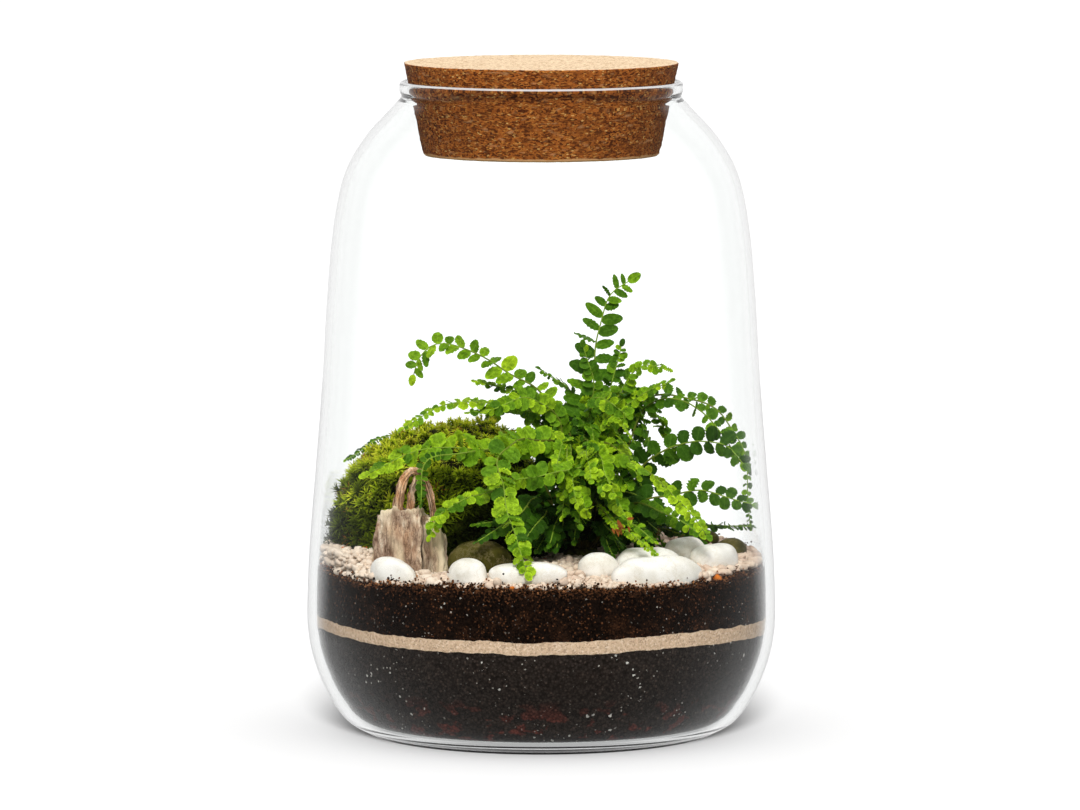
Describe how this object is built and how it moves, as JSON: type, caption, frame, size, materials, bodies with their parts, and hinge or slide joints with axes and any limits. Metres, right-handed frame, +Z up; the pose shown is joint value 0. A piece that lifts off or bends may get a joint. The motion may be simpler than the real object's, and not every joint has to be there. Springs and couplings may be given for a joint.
{
  "type": "plant terrarium",
  "caption": "Rounded clear glass jar with a tapered cork stopper, holding layered soil and sand, gravel, white pebbles, driftwood, a moss hummock and a small button fern.",
  "frame": {"origin": "centre of the jar's flat underside, on the surface it stands on", "axes": "+Z up along the jar's axis, -Y towards the viewer of the picture, +X to the viewer's right"},
  "size_m": [0.2, 0.2, 0.285],
  "materials": {
    "glass": "gloss",
    "cork": "matte",
    "drainage_mix": "matte",
    "dark_soil": "matte",
    "sand": "matte",
    "gravel": "matte",
    "white_stone": "satin",
    "river_stone": "satin",
    "driftwood": "matte",
    "moss": "matte",
    "fern_stock": "matte",
    "fern": "satin"
  },
  "bodies": {
    "root": {"jar": "glass", "cork_stopper": "cork", "drainage_layer": "drainage_mix", "lower_soil": "dark_soil", "sand_band": "sand", "upper_soil": "dark_soil", "gravel": "gravel", "white_pebble_1": "white_stone", "white_pebble_2": "white_stone", "white_pebble_3": "white_stone", "white_pebble_4": "white_stone", "white_pebble_5": "white_stone", "white_pebble_6": "white_stone", "white_pebble_7": "white_stone", "white_pebble_8": "white_stone", "river_stone_1": "river_stone", "river_stone_2": "river_stone", "river_stone_3": "river_stone", "river_stone_4": "river_stone", "driftwood": "driftwood", "moss": "moss", "fern_crown": "fern_stock", "frond_01": "fern", "frond_02": "fern", "frond_03": "fern", "frond_04": "fern", "frond_05": "fern", "frond_06": "fern", "frond_07": "fern", "frond_08": "fern", "frond_09": "fern", "frond_10": "fern", "frond_11": "fern", "frond_12": "fern", "frond_13": "fern", "frond_14": "fern", "frond_15": "fern", "frond_16": "fern", "frond_17": "fern", "frond_18": "fern", "frond_19": "fern", "frond_20": "fern", "frond_21": "fern", "frond_22": "fern", "frond_23": "fern", "frond_24": "fern", "frond_25": "fern", "frond_26": "fern", "frond_27": "fern"}
  },
  "joints": []
}
